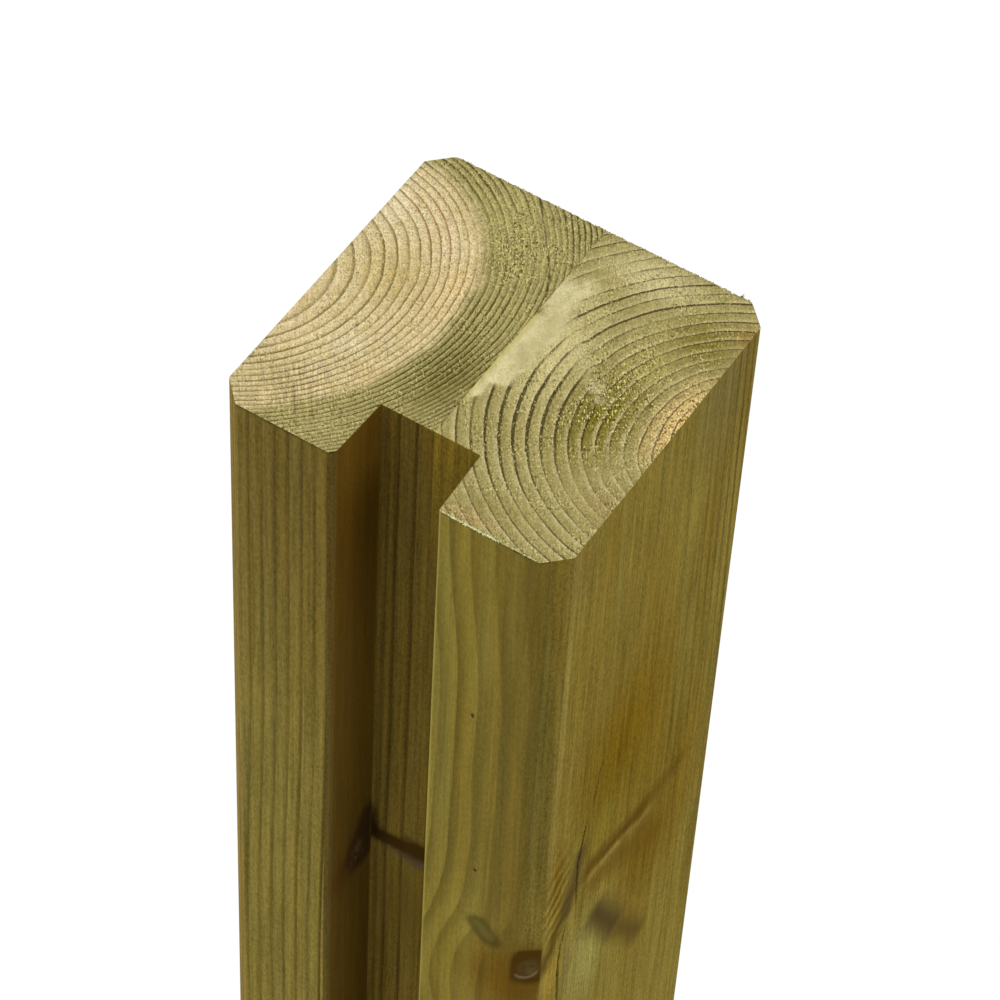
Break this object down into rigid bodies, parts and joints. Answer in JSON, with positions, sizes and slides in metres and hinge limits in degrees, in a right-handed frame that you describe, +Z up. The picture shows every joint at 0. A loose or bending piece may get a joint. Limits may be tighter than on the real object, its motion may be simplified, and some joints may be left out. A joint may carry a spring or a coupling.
{
  "type": "slotted wooden fence post",
  "caption": "Square glued softwood end post with chamfered edges and one full-length slot that holds the ends of fence boards.",
  "frame": {"origin": "middle of the post's foot, on the ground", "axes": "+Z up the post, -Y out through the slot's open side, +X to the right when the slot faces the viewer"},
  "size_m": [0.09, 0.09, 1.8],
  "materials": {
    "left_board": "planed, pressure treated, sawn ends",
    "right_board": "planed, pressure treated, sawn ends"
  },
  "bodies": {
    "root": {"left_board": "left_board", "right_board": "right_board"}
  },
  "joints": []
}
